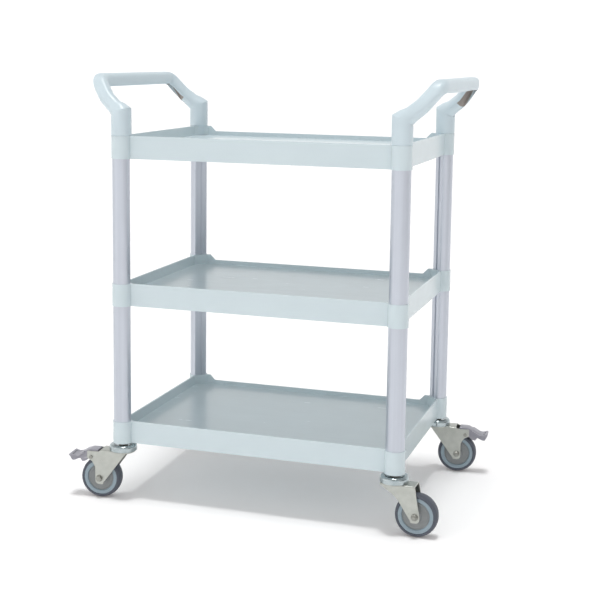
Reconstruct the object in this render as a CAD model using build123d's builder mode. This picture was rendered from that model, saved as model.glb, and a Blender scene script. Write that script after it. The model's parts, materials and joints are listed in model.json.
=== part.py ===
from build123d import *
import math
import os

# Food service trolley in millimetres: three moulded trays on aluminium posts, a push handle at
# each end and four swivel castors. X runs along the length, Y across the width with the lowered
# tray edge on +Y, and Z up. The origin is on the floor under the trolley's centre.

# Layout
POST_X = 340.0  # post axis from the centre, along the length
POST_Y = 240.0  # post axis from the centre, across the width
CORNERS = {
    "front_left": (-1, -1),
    "front_right": (1, -1),
    "back_left": (-1, 1),
    "back_right": (1, 1),
}
FIT = 0.1  # clearance of a pushed-in piece, all round

# Posts: round tube with one grooved flat that faces the trolley's centre
POST_R = 22.0
POST_FLAT = 15.0  # post axis to the flat
POST_WALL = 2.0
GROOVE_WIDTH = 6.5
GROOVE_DEPTH = 2.5

# Trays
TRAY_TOPS = {"bottom_tray": 195.0, "middle_tray": 534.0, "top_tray": 888.0}
TRAY_HEIGHT = 54.0
TRAY_HALF_LENGTH = 344.0
TRAY_HALF_WIDTH = 243.0
TRAY_WALL = 3.5
FLOOR_DEPTH = 25.0  # rim down to the tray's floor
FLOOR_THICKNESS = 4.0
FLOOR_FILLET = 4.0
COLLAR_R = 24.0
COLLAR_FLAT = 20.0  # post axis to the diagonal wall inside each corner
SOCKET_DEPTH = 24.0
RIM_DROP = 14.0  # how far the +Y rim lies below the others
TAB_END = 305.0  # where the full-height tab by each +Y post ends
RIB_THICKNESS = 2.5
RIB_DEPTH = 14.0
RIB_SPACING_X = 110.0
RIB_SPACING_Y = 120.0

# Tie rods through the posts
ROD_R = 4.0
ROD_HOLE_R = 4.6
ROD_BOTTOM = 156.0
ROD_TOP = 900.0
ROD_NUT_WIDTH = 13.0
ROD_NUT_HEIGHT = 6.5

# Handles
GRIP_OFFSET = 75.0  # grip axis beyond the posts
GRIP_INSET = 35.0  # handle corner inside the posts, across the width
GRIP_Z = 1017.0
GRIP_DEPTH = 33.0
GRIP_WIDTH = 34.0
GRIP_ROUNDING = 12.0
BEND_Z = 948.0
BEND_RADIUS = 25.0
CORNER_RADIUS = 32.0
STEM_LOFT_START = 915.0
ARM_WIDTH = 44.0  # section just above the bend
BEND_STEPS = 6  # sections round each bend
BEND_SHARE = 0.125  # share of the handle's route where the stem's section has become the arm's
GRIP_SHARE = 0.43  # share of the route where the arm's section has become the grip's
CHANNEL_WIDTH = 17.0
CHANNEL_DEPTH = 12.0
CHANNEL_HALF_LENGTH = 165.0

# Castors
WHEEL_R = 50.0
TRAIL = 54.5  # swivel axis to axle
TRAIL_ANGLES = {"front_left": 185.0, "front_right": -2.0, "back_left": 178.0, "back_right": 5.0}
BRAKED = ("front_left", "back_right")
PLATE_TOP = 121.0
SHEET = 3.0
SHEET_GAP = 0.3
FORK_HALF_WIDTH = 21.0
FORK_BEND_R = 5.0
CROWN_R = 29.0
CROWN_TOP = 124.5
PLATE_R = 30.0
HEAD_R = 33.5
HEAD_BOTTOM = 121.8
HEAD_TOP = 137.0
HEAD_CEILING = 130.8
HEAD_SKIRT = 3.0
HEAD_RECESS = 2.5
BALL_R = 3.0
BALL_CIRCLE_R = 22.0
BALL_COUNT = 18
STEM_R = 6.0
RUNNING_FIT = 0.08
STEM_HEAD_R = 10.0
STEM_HEAD_BOTTOM = 113.2
STEM_TOP = 154.0
STEM_NUT_WIDTH = 19.0
PLUG_HEIGHT = 14.0

# Wheels
TYRE_HALF_WIDTH = 15.0
RIM_R = 42.0
RIM_HALF_WIDTH = 13.5
RIM_RING_R = 36.5
WEB_HALF_WIDTH = 6.0
HUB_R = 13.0
HUB_HALF_WIDTH = 17.0
BUSH_R = 7.0
BUSH_HALF_WIDTH = 17.7
AXLE_R = 4.0
BOLT_HEAD_WIDTH = 13.0
BOLT_HEAD_HEIGHT = 5.0
WASHER_R = 8.5
WASHER_THICKNESS = 1.2
NUT_HEIGHT = 6.0
THREAD_END = 2.0
SHOULDER_R = 48.2  # tyre radius where the crowned tread meets its shoulder
SHOULDER_HALF_WIDTH = 13.0

# Brake pedals
PEDAL_U = 76.0  # brake pin, along the trail from the swivel axis
PEDAL_Z = 102.0
PEDAL_PIN_R = 3.0
PEDAL_PIN_HEAD_R = 4.5
PEDAL_PIN_HEAD = 2.0
PEDAL_HALF_WIDTH = 17.2
PEDAL_SHEET = 2.5
PAD_HALF_WIDTH = 21.0
PAD_START = 92.0
SHOE_HALF_WIDTH = 12.5
STAMPED_HOLE = (50.0, 96.0)  # hole in each leg of a braked fork, along the trail and above the floor
STAMPED_HOLE_R = 2.5

tray_bottom = TRAY_TOPS["bottom_tray"] - TRAY_HEIGHT
socket_floor = TRAY_TOPS["top_tray"] - SOCKET_DEPTH
fork_inner = FORK_HALF_WIDTH - SHEET


def corner_point(corner, z):
    """Point on a post's axis."""
    side_x, side_y = CORNERS[corner]
    return (side_x * POST_X, side_y * POST_Y, z)


def corner_plane(corner, z):
    """Level plane on a post's axis, with its x direction pointing away from the centre."""
    side_x, side_y = CORNERS[corner]
    return Plane(origin=corner_point(corner, z), x_dir=(side_x, side_y, 0), z_dir=(0, 0, 1))


def upright_plane(corner):
    """Upright plane through a post's axis: x is the radius and y the height above the floor."""
    return Plane(origin=corner_point(corner, 0), x_dir=(1, 0, 0), z_dir=(0, -1, 0))


def trail_vector(corner):
    """Direction from a castor's swivel axis to its axle."""
    angle = math.radians(TRAIL_ANGLES[corner])
    return Vector(math.cos(angle), math.sin(angle), 0)


def axle_vector(corner):
    """Direction of a castor's axle."""
    return trail_vector(corner).cross(Vector(0, 0, 1))


def side_plane(corner):
    """Upright plane through a castor: x runs along the trail, y is the height above the floor."""
    return Plane(origin=corner_point(corner, 0), x_dir=trail_vector(corner), z_dir=axle_vector(corner))


def axle_point(corner):
    """Centre of a castor's wheel."""
    return Vector(*corner_point(corner, WHEEL_R)) + trail_vector(corner) * TRAIL


def axle_plane(corner, offset=0.0):
    """Plane across a castor's axle, at a distance along the axle from the wheel's centre."""
    origin = axle_point(corner) + axle_vector(corner) * offset
    return Plane(origin=origin, x_dir=trail_vector(corner), z_dir=axle_vector(corner))


def wheel_section_plane(corner):
    """Plane through a castor's axle: x runs along the axle and y is the radius."""
    return Plane(origin=axle_point(corner), x_dir=axle_vector(corner), z_dir=trail_vector(corner) * -1)


def flatted_circle(radius, flat):
    """Circle cut off by a straight edge at x = -flat."""
    half_chord = math.sqrt(radius**2 - flat**2)
    with BuildSketch() as outline:
        with BuildLine():
            ThreePointArc((-flat, half_chord), (radius, 0), (-flat, -half_chord))
            Line((-flat, -half_chord), (-flat, half_chord))
        make_face()
    return outline.sketch_local


def well_outline():
    """Inside outline of a tray, with a diagonal wall round each corner collar."""
    half_length = TRAY_HALF_LENGTH - TRAY_WALL
    half_width = TRAY_HALF_WIDTH - TRAY_WALL
    corner_cut = half_length + half_width - POST_X - POST_Y + COLLAR_FLAT * math.sqrt(2)
    with BuildSketch() as outline:
        Rectangle(2 * half_length, 2 * half_width)
        chamfer(outline.vertices(), corner_cut)
    return outline.sketch_local


def save(part, name):
    """Label one finished piece and write it to its own STEP file."""
    part.label = name
    export_step(part, f"parts/{name}.step")


def make_tray(rim):
    """Tray moulded in one piece with its corner collars: rim is the height of its top edge."""
    bottom = rim - TRAY_HEIGHT
    well = well_outline()
    with BuildPart() as tray:
        with BuildSketch(Plane.XY.offset(bottom)):
            Rectangle(2 * TRAY_HALF_LENGTH, 2 * TRAY_HALF_WIDTH)
            with GridLocations(2 * POST_X, 2 * POST_Y, 2, 2):
                Circle(COLLAR_R)
        extrude(amount=TRAY_HEIGHT)
        with BuildSketch(Plane.XY.offset(rim - FLOOR_DEPTH)):
            add(well)
        extrude(amount=FLOOR_DEPTH, mode=Mode.SUBTRACT)
        with BuildSketch(Plane.XY.offset(bottom)):
            add(well)
        extrude(amount=TRAY_HEIGHT - FLOOR_DEPTH - FLOOR_THICKNESS, mode=Mode.SUBTRACT)
        floor_edges = tray.edges().filter_by_position(Axis.Z, rim - FLOOR_DEPTH, rim - FLOOR_DEPTH)
        fillet(floor_edges, FLOOR_FILLET)
        with BuildSketch(Plane.XY.offset(rim - FLOOR_DEPTH - FLOOR_THICKNESS)):
            with GridLocations(RIB_SPACING_X, 1, 5, 1):
                Rectangle(RIB_THICKNESS, 2 * TRAY_HALF_WIDTH - TRAY_WALL)
            with GridLocations(1, RIB_SPACING_Y, 1, 3):
                Rectangle(2 * TRAY_HALF_LENGTH - TRAY_WALL, RIB_THICKNESS)
        extrude(amount=-RIB_DEPTH)
        with BuildSketch(Plane.XZ.offset(-TRAY_HALF_WIDTH)):
            with BuildLine():
                Polyline(
                    (-TAB_END, rim),
                    (-TAB_END + RIM_DROP, rim - RIM_DROP),
                    (TAB_END - RIM_DROP, rim - RIM_DROP),
                    (TAB_END, rim),
                    close=True,
                )
            make_face()
        extrude(amount=TRAY_WALL, mode=Mode.SUBTRACT)
        for corner in CORNERS:
            with BuildSketch(corner_plane(corner, bottom), corner_plane(corner, rim - SOCKET_DEPTH)):
                add(flatted_circle(POST_R + FIT, POST_FLAT + FIT))
            extrude(amount=SOCKET_DEPTH, mode=Mode.SUBTRACT)
            with BuildSketch(corner_plane(corner, bottom)):
                Circle(ROD_HOLE_R)
            extrude(amount=TRAY_HEIGHT, mode=Mode.SUBTRACT)
    return tray.part


def make_post(corner, lower_tray, upper_tray):
    """Post between two trays, from socket to socket."""
    start = TRAY_TOPS[lower_tray] - SOCKET_DEPTH
    end = TRAY_TOPS[upper_tray] - TRAY_HEIGHT + SOCKET_DEPTH
    with BuildPart() as post:
        with BuildSketch(corner_plane(corner, start)):
            add(flatted_circle(POST_R, POST_FLAT))
            with Locations((GROOVE_DEPTH / 2 - POST_FLAT, 0)):
                Rectangle(GROOVE_DEPTH, GROOVE_WIDTH, mode=Mode.SUBTRACT)
        extrude(amount=end - start)
        with BuildSketch(corner_plane(corner, start)):
            add(flatted_circle(POST_R - POST_WALL, POST_FLAT - POST_WALL))
            with Locations(((GROOVE_DEPTH + POST_WALL) / 2 - POST_FLAT, 0)):
                Rectangle(GROOVE_DEPTH + POST_WALL, GROOVE_WIDTH + 2 * POST_WALL, mode=Mode.SUBTRACT)
        extrude(amount=end - start, mode=Mode.SUBTRACT)
    return post.part


def handle_route():
    """Centre line of the left handle's front half, from the stem to the middle of the grip."""
    corner_y = POST_Y - GRIP_INSET
    with BuildLine() as route:
        FilletPolyline(
            (-POST_X, -POST_Y, STEM_LOFT_START),
            (-POST_X, -POST_Y, BEND_Z),
            (-POST_X - GRIP_OFFSET, -corner_y, GRIP_Z),
            (-POST_X - GRIP_OFFSET, 0, GRIP_Z),
            radius=[BEND_RADIUS, CORNER_RADIUS],
        )
    return route.wires()[0]


def handle_shares(route):
    """Shares of the route that get a section: closely spaced round each bend."""
    shares = [0.0]
    travelled = 0.0
    for edge in route.edges():
        steps = BEND_STEPS if edge.geom_type == GeomType.CIRCLE else 1
        shares += [(travelled + edge.length * (step + 1) / steps) / route.length for step in range(steps)]
        travelled += edge.length
    return shares


def handle_section(share):
    """Depth, width and corner radius of the handle at a share of its route."""
    stem = (2 * COLLAR_R, 2 * COLLAR_R, COLLAR_R - FIT)
    arm = (ARM_WIDTH, ARM_WIDTH, ARM_WIDTH / 2 - 1)
    grip = (GRIP_WIDTH, GRIP_DEPTH, GRIP_ROUNDING)
    if share <= BEND_SHARE:
        first, last, part_way = stem, arm, share / BEND_SHARE
    else:
        first, last = arm, grip
        part_way = min(1.0, (share - BEND_SHARE) / (GRIP_SHARE - BEND_SHARE))
    return [a + (b - a) * part_way for a, b in zip(first, last)]


def make_left_handle():
    """Push handle: two stems that lean out into a round-cornered grip, and the spigots below them."""
    route = handle_route()
    with BuildPart() as handle:
        for share in handle_shares(route):
            tangent = route.tangent_at(share)
            outward = Vector(-1, 0, 0)
            across = outward - tangent * outward.dot(tangent)
            depth, width, rounding = handle_section(share)
            with BuildSketch(Plane(origin=route.position_at(share), x_dir=across, z_dir=tangent)):
                RectangleRounded(depth, width, rounding)
        loft(ruled=True)
        with BuildSketch(corner_plane("front_left", TRAY_TOPS["top_tray"])):
            Circle(COLLAR_R)
        extrude(amount=STEM_LOFT_START - TRAY_TOPS["top_tray"])
        with BuildSketch(corner_plane("front_left", socket_floor)):
            add(flatted_circle(POST_R, POST_FLAT))
        extrude(amount=SOCKET_DEPTH)
        with BuildSketch(corner_plane("front_left", socket_floor)):
            Circle(ROD_R + FIT / 2)
        extrude(amount=ROD_TOP - socket_floor + ROD_R, mode=Mode.SUBTRACT)
        mirror(about=Plane.XZ)
        with BuildSketch(Plane.XY.offset(GRIP_Z - GRIP_DEPTH / 2)):
            with Locations((-POST_X - GRIP_OFFSET, 0)):
                SlotOverall(2 * CHANNEL_HALF_LENGTH, CHANNEL_WIDTH, rotation=90)
        extrude(amount=CHANNEL_DEPTH, mode=Mode.SUBTRACT)
    return handle.part


def make_plug(corner):
    """Insert in the lower socket of the bottom tray, which holds the castor's stem."""
    with BuildPart() as plug:
        with BuildSketch(corner_plane(corner, tray_bottom)):
            add(flatted_circle(POST_R, POST_FLAT))
            Circle(STEM_R + FIT / 2, mode=Mode.SUBTRACT)
        extrude(amount=PLUG_HEIGHT)
    return plug.part


def make_stem(corner):
    """Castor stem: riveted end under the fork, hexagon on the head and stud in the plug."""
    with BuildPart() as stem:
        with BuildSketch(corner_plane(corner, STEM_HEAD_BOTTOM)):
            Circle(STEM_R)
        extrude(amount=STEM_TOP - STEM_HEAD_BOTTOM)
        with BuildSketch(corner_plane(corner, STEM_HEAD_BOTTOM)):
            Circle(STEM_HEAD_R)
        extrude(amount=PLATE_TOP - SHEET - STEM_HEAD_BOTTOM - SHEET_GAP)
        with BuildSketch(corner_plane(corner, HEAD_TOP - HEAD_RECESS)):
            RegularPolygon(STEM_NUT_WIDTH / 2, 6, major_radius=False)
        extrude(amount=tray_bottom - HEAD_TOP + HEAD_RECESS)
    return stem.part


def make_head(corner):
    """Fixed upper cup of the swivel bearing, with a rounded shoulder and a recessed top."""
    shoulder = HEAD_R - HEAD_TOP + HEAD_CEILING
    recess_r = STEM_NUT_WIDTH
    with BuildPart() as head:
        with BuildSketch(upright_plane(corner)):
            with BuildLine():
                Polyline(
                    (HEAD_R, HEAD_CEILING),
                    (HEAD_R, HEAD_BOTTOM),
                    (HEAD_R - HEAD_SKIRT, HEAD_BOTTOM),
                    (HEAD_R - HEAD_SKIRT, HEAD_CEILING),
                    (STEM_R + FIT / 2, HEAD_CEILING),
                    (STEM_R + FIT / 2, HEAD_TOP - HEAD_RECESS),
                    (recess_r, HEAD_TOP - HEAD_RECESS),
                    (recess_r + HEAD_RECESS, HEAD_TOP),
                    (shoulder, HEAD_TOP),
                )
                RadiusArc((shoulder, HEAD_TOP), (HEAD_R, HEAD_CEILING), HEAD_TOP - HEAD_CEILING)
            make_face()
        revolve(axis=Axis(corner_point(corner, 0), (0, 0, 1)))
    return head.part


def make_balls(corner):
    """Ring of bearing balls on the fork's crown."""
    with BuildPart() as balls:
        with Locations(corner_plane(corner, CROWN_TOP + BALL_R)):
            with PolarLocations(BALL_CIRCLE_R, BALL_COUNT):
                Sphere(BALL_R)
    return balls.part


def fork_outline(braked):
    """Side outline of a fork: x along the trail from the swivel axis, y the height."""
    with BuildSketch() as outline:
        with BuildLine():
            if braked:
                ThreePointArc((65, 44), (55.5, 35.5), (44.5, 40))
                Polyline(
                    (44.5, 40), (-14, 117.5), (-14, PLATE_TOP), (52, PLATE_TOP), (56, 117),
                    (86, 117), (86, 99), (73, 92), (65, 78), (65, 44),
                )
            else:
                ThreePointArc((65.5, 44), (55.5, 35.5), (44.5, 40))
                Polyline(
                    (44.5, 40), (9, 93), (-29, 117.5), (-29, PLATE_TOP), (53, PLATE_TOP), (65.5, 44),
                )
        make_face()
        bends = outline.vertices().filter_by_position(Axis.Y, 77, 117.2).filter_by_position(Axis.X, 5, 90)
        fillet(bends, 5 if braked else 60)
    return outline.sketch_local


def make_fork(corner):
    """Pressed steel fork: a channel cut to its side outline, with the bearing's crown on top."""
    braked = corner in BRAKED
    trail_end = Plane(
        origin=corner_point(corner, 0), x_dir=axle_vector(corner), z_dir=trail_vector(corner) * -1
    )
    with BuildPart() as fork:
        with BuildSketch(side_plane(corner)):
            add(fork_outline(braked))
        extrude(amount=FORK_HALF_WIDTH, both=True)
        top_edges = fork.edges().filter_by_position(Axis.Z, PLATE_TOP, PLATE_TOP)
        fillet(top_edges.sort_by(SortBy.LENGTH)[-2:], FORK_BEND_R)
        with BuildSketch(trail_end):
            Rectangle(2 * fork_inner, 2 * (PLATE_TOP - SHEET))
        extrude(amount=2 * PEDAL_U, both=True, mode=Mode.SUBTRACT)
        with BuildSketch(corner_plane(corner, PLATE_TOP - SHEET)):
            Circle(PLATE_R)
        extrude(amount=SHEET)
        with BuildSketch(corner_plane(corner, PLATE_TOP)):
            Circle(CROWN_R)
        extrude(amount=CROWN_TOP - PLATE_TOP)
        with BuildSketch(corner_plane(corner, PLATE_TOP - SHEET)):
            Circle(STEM_R + RUNNING_FIT)
        extrude(amount=CROWN_TOP - PLATE_TOP + SHEET, mode=Mode.SUBTRACT)
        with BuildSketch(side_plane(corner)):
            with Locations((TRAIL, WHEEL_R)):
                Circle(AXLE_R + FIT / 2)
            if braked:
                with Locations((PEDAL_U, PEDAL_Z)):
                    Circle(PEDAL_PIN_R + FIT / 2)
                with Locations(STAMPED_HOLE):
                    Circle(STAMPED_HOLE_R)
        extrude(amount=FORK_HALF_WIDTH, both=True, mode=Mode.SUBTRACT)
    return fork.part


def make_wheel_core(corner):
    """Wheel body: hub, thin web and broad rim."""
    bore = BUSH_R + FIT / 2
    with BuildPart() as core:
        with BuildSketch(wheel_section_plane(corner)):
            with BuildLine():
                Polyline(
                    (0, bore),
                    (HUB_HALF_WIDTH, bore),
                    (HUB_HALF_WIDTH, HUB_R - 1),
                    (HUB_HALF_WIDTH - 2, HUB_R),
                    (WEB_HALF_WIDTH, HUB_R + 2),
                    (WEB_HALF_WIDTH - 1, RIM_RING_R - 3),
                    (RIM_HALF_WIDTH - 3, RIM_RING_R - 1),
                    (RIM_HALF_WIDTH, RIM_RING_R),
                    (RIM_HALF_WIDTH, RIM_R),
                    (0, RIM_R),
                    close=True,
                )
            make_face()
            mirror(about=Plane.YZ)
        revolve(axis=Axis(axle_point(corner), axle_vector(corner)))
    return core.part


def make_tyre(corner):
    """Rubber tyre with a crowned tread."""
    seat = RIM_R + FIT / 2
    with BuildPart() as tyre:
        with BuildSketch(wheel_section_plane(corner)):
            with BuildLine():
                ThreePointArc(
                    (-SHOULDER_HALF_WIDTH, SHOULDER_R), (0, WHEEL_R), (SHOULDER_HALF_WIDTH, SHOULDER_R)
                )
                Polyline(
                    (SHOULDER_HALF_WIDTH, SHOULDER_R),
                    (TYRE_HALF_WIDTH, SHOULDER_R - 2),
                    (TYRE_HALF_WIDTH, seat + 1.5),
                    (RIM_HALF_WIDTH, seat),
                    (-RIM_HALF_WIDTH, seat),
                    (-TYRE_HALF_WIDTH, seat + 1.5),
                    (-TYRE_HALF_WIDTH, SHOULDER_R - 2),
                    (-SHOULDER_HALF_WIDTH, SHOULDER_R),
                )
            make_face()
        revolve(axis=Axis(axle_point(corner), axle_vector(corner)))
    return tyre.part


def make_bush(corner):
    """Bearing bush in the wheel's hub."""
    with BuildPart() as bush:
        with BuildSketch(axle_plane(corner)):
            Circle(BUSH_R)
            Circle(AXLE_R + RUNNING_FIT, mode=Mode.SUBTRACT)
        extrude(amount=BUSH_HALF_WIDTH, both=True)
    return bush.part


def make_axle_bolt(corner):
    """Axle bolt through both legs of the fork, with a washer face under its head."""
    length = 2 * FORK_HALF_WIDTH + WASHER_THICKNESS + NUT_HEIGHT + THREAD_END
    with BuildPart() as bolt:
        with BuildSketch(axle_plane(corner, -FORK_HALF_WIDTH)):
            Circle(AXLE_R)
        extrude(amount=length)
        with BuildSketch(axle_plane(corner, -FORK_HALF_WIDTH)):
            Circle(WASHER_R)
        extrude(amount=-WASHER_THICKNESS)
        with BuildSketch(axle_plane(corner, -FORK_HALF_WIDTH - WASHER_THICKNESS)):
            RegularPolygon(BOLT_HEAD_WIDTH / 2, 6, major_radius=False)
        extrude(amount=-BOLT_HEAD_HEIGHT)
    return bolt.part


def make_axle_nut(corner):
    """Flanged lock nut on the axle bolt."""
    with BuildPart() as nut:
        with BuildSketch(axle_plane(corner, FORK_HALF_WIDTH)):
            Circle(WASHER_R)
        extrude(amount=WASHER_THICKNESS)
        with BuildSketch(axle_plane(corner, FORK_HALF_WIDTH + WASHER_THICKNESS)):
            RegularPolygon(BOLT_HEAD_WIDTH / 2, 6, major_radius=False)
        extrude(amount=NUT_HEIGHT)
        with BuildSketch(axle_plane(corner, FORK_HALF_WIDTH)):
            Circle(AXLE_R + FIT / 2)
        extrude(amount=WASHER_THICKNESS + NUT_HEIGHT, mode=Mode.SUBTRACT)
    return nut.part


def pedal_outline():
    """Side outline of a brake pedal: a flat heel over the pin, a slope and an upturned toe."""
    with BuildSketch() as outline:
        with BuildLine():
            Polyline(
                (60, 113), (60, 119.5), (82, 119.5), (98, 112.5), (111, 104.5), (121, 102.8),
                (132, 106.5), (134.5, 103.5), (127, 89.5), (121, 89.5), (108, 95.5), (84, 95.5),
                (76, 97.5), (70, 100.5),
                close=True,
            )
        make_face()
    return outline.sketch_local


def make_pedal(corner):
    """Brake pedal: a pressed channel on the brake pin, with a toe pad and a shoe over the tyre."""
    outline = pedal_outline()
    with BuildPart() as pedal:
        with BuildSketch(side_plane(corner)):
            add(outline)
        extrude(amount=PEDAL_HALF_WIDTH, both=True)
        with BuildSketch(side_plane(corner)):
            with Locations((0, -SHEET)):
                add(outline)
        extrude(amount=PEDAL_HALF_WIDTH - PEDAL_SHEET, both=True, mode=Mode.SUBTRACT)
        with BuildSketch(side_plane(corner)):
            with BuildLine():
                Polyline(
                    (PAD_START, 115.1), (98, 112.5), (111, 104.5), (121, 102.8), (132, 106.5),
                    (134.5, 103.5), (131, 100), (121, 99.8), (109, 101.5), (PAD_START, 112.1),
                    close=True,
                )
            make_face()
        extrude(amount=PAD_HALF_WIDTH, both=True)
        with BuildSketch(side_plane(corner)):
            with BuildLine():
                Polyline(
                    (88, 92.5), (95, 88), (102, 86.5), (106, 92), (106, 106.5), (88, 115), close=True
                )
            make_face()
        extrude(amount=SHOE_HALF_WIDTH, both=True)
        with BuildSketch(side_plane(corner)):
            with Locations((PEDAL_U, PEDAL_Z)):
                Circle(PEDAL_PIN_R + RUNNING_FIT)
        extrude(amount=PEDAL_HALF_WIDTH, both=True, mode=Mode.SUBTRACT)
    return pedal.part


def make_brake_pin(corner):
    """Riveted pin that a brake pedal turns on."""
    with BuildPart() as pin:
        with BuildSketch(side_plane(corner)):
            with Locations((PEDAL_U, PEDAL_Z)):
                Circle(PEDAL_PIN_R)
        extrude(amount=FORK_HALF_WIDTH + PEDAL_PIN_HEAD, both=True)
        outer_faces = [side_plane(corner).offset(FORK_HALF_WIDTH)]
        outer_faces.append(side_plane(corner).offset(-FORK_HALF_WIDTH - PEDAL_PIN_HEAD))
        with BuildSketch(*outer_faces):
            with Locations((PEDAL_U, PEDAL_Z)):
                Circle(PEDAL_PIN_HEAD_R)
        extrude(amount=PEDAL_PIN_HEAD)
    return pin.part


def make_tie_rods():
    """Rods that pull the trays, posts and handles together, one inside each corner."""
    with BuildPart() as rods:
        with BuildSketch(*[corner_plane(corner, ROD_BOTTOM) for corner in CORNERS]):
            Circle(ROD_R)
        extrude(amount=ROD_TOP - ROD_BOTTOM)
    return rods.part


def make_rod_nuts():
    """Nuts on the tie rods, under the web inside each bottom collar."""
    web = tray_bottom + SOCKET_DEPTH
    with BuildPart() as nuts:
        with BuildSketch(*[corner_plane(corner, web - ROD_NUT_HEIGHT) for corner in CORNERS]):
            RegularPolygon(ROD_NUT_WIDTH / 2, 6, major_radius=False)
            Circle(ROD_R + FIT / 2, mode=Mode.SUBTRACT)
        extrude(amount=ROD_NUT_HEIGHT)
    return nuts.part


os.makedirs("parts", exist_ok=True)

for tray_name, tray_rim in TRAY_TOPS.items():
    save(make_tray(tray_rim), tray_name)

left_handle = make_left_handle()
save(left_handle, "left_handle")
save(left_handle.mirror(Plane.YZ), "right_handle")
save(make_tie_rods(), "tie_rods")
save(make_rod_nuts(), "tie_rod_nuts")

for place in CORNERS:
    save(make_post(place, "bottom_tray", "middle_tray"), f"lower_post_{place}")
    save(make_post(place, "middle_tray", "top_tray"), f"upper_post_{place}")
    save(make_plug(place), f"castor_plug_{place}")
    save(make_stem(place), f"castor_stem_{place}")
    save(make_head(place), f"castor_head_{place}")
    save(make_balls(place), f"castor_balls_{place}")
    save(make_fork(place), f"castor_fork_{place}")
    save(make_axle_bolt(place), f"axle_bolt_{place}")
    save(make_axle_nut(place), f"axle_nut_{place}")
    save(make_wheel_core(place), f"wheel_core_{place}")
    save(make_tyre(place), f"tyre_{place}")
    save(make_bush(place), f"wheel_bush_{place}")
    if place in BRAKED:
        save(make_pedal(place), f"brake_pedal_{place}")
        save(make_brake_pin(place), f"brake_pin_{place}")
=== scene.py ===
"""Visual model of a food service trolley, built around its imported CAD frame.

Every piece is made in metres in the frame's own axes: X along the trolley, Y across it with the
lowered tray rims on +Y, Z up from the floor.
"""

import json
import logging
import math
from dataclasses import dataclass, field
from enum import Enum

import bmesh
import bpy
from mathutils import Matrix, Vector


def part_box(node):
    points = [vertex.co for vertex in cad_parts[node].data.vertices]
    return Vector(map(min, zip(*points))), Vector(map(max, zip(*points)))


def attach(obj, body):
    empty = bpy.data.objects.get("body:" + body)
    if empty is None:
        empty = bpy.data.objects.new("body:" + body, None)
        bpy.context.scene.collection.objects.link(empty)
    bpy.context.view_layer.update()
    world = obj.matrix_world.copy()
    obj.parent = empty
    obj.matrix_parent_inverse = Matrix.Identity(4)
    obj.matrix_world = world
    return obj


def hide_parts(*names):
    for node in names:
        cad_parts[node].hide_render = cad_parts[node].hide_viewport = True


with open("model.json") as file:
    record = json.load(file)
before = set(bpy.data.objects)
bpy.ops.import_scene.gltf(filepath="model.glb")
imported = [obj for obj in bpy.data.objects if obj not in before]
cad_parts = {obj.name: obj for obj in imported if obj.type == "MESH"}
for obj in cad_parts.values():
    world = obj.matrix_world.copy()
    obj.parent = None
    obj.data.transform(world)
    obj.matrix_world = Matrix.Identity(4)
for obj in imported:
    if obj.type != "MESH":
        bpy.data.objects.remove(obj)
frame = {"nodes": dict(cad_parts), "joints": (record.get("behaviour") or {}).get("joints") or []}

logging.basicConfig(level=logging.INFO, format="%(message)s")
LOG = logging.getLogger("trolley")

MM = 0.001
FULL_TURN = 2 * math.pi
SHARP_ANGLE = math.radians(32)
MERGE_MM = 0.002
CROWN_MM = 0.8
CROWN_SHARE = 0.9
POST_WORDS = ("front_left", "front_right", "back_left", "back_right")


# --------------------------------------------------------------------------- small helpers


def srgb(code: str) -> tuple[float, float, float, float]:
    """Turn an sRGB hex value into linear RGBA.

    Args:
        code: colour such as "#C8D4D9".

    Returns:
        Linear red, green, blue and an alpha of one.
    """
    parts = [int(code[i : i + 2], 16) / 255 for i in (1, 3, 5)]
    linear = [p / 12.92 if p <= 0.04045 else ((p + 0.055) / 1.055) ** 2.4 for p in parts]
    return (*linear, 1.0)


def add_node(tree: bpy.types.NodeTree, kind: str, settings: dict, **links: object) -> bpy.types.Node:
    """Add one shader node with its settings and links.

    Args:
        tree: node tree that receives the node.
        kind: node type, such as "ShaderNodeTexNoise".
        settings: node attributes by name, and socket values by (socket name or index,).
        links: output sockets that feed the input named by each key, with _ for a space.

    Returns:
        The new node.
    """
    node = tree.nodes.new(kind)
    for key, value in settings.items():
        if isinstance(key, tuple):
            node.inputs[key[0]].default_value = value
        else:
            setattr(node, key, value)
    for name, source in links.items():
        key = name.replace("_", " ")
        target = node.inputs[int(key[3:])] if key.startswith("in ") else node.inputs[key]
        tree.links.new(source, target)
    return node


def axes_matrix(origin: Vector, x_axis: Vector, z_axis: Vector) -> Matrix:
    """Matrix that places local axes at a point.

    Args:
        origin: where the local origin goes.
        x_axis: direction of local X, made square to z_axis.
        z_axis: direction of local Z.

    Returns:
        The 4 by 4 placement.
    """
    z_dir = z_axis.normalized()
    x_dir = (x_axis - z_dir * x_axis.dot(z_dir)).normalized()
    y_dir = z_dir.cross(x_dir)
    turn = Matrix((x_dir, y_dir, z_dir)).transposed().to_4x4()
    return Matrix.Translation(origin) @ turn


def chain(bm: bmesh.types.BMesh, points: list[tuple[float, float, float]], closed: bool) -> list:
    """Join a few vertices by edges.

    Args:
        bm: mesh that receives them.
        points: the places of the vertices.
        closed: whether the last vertex joins the first.

    Returns:
        The new vertices and edges in one list.
    """
    verts = [bm.verts.new(point) for point in points]
    pairs = list(zip(verts, verts[1:]))
    if closed:
        pairs.append((verts[-1], verts[0]))
    return verts + [bm.edges.new(pair) for pair in pairs]


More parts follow.
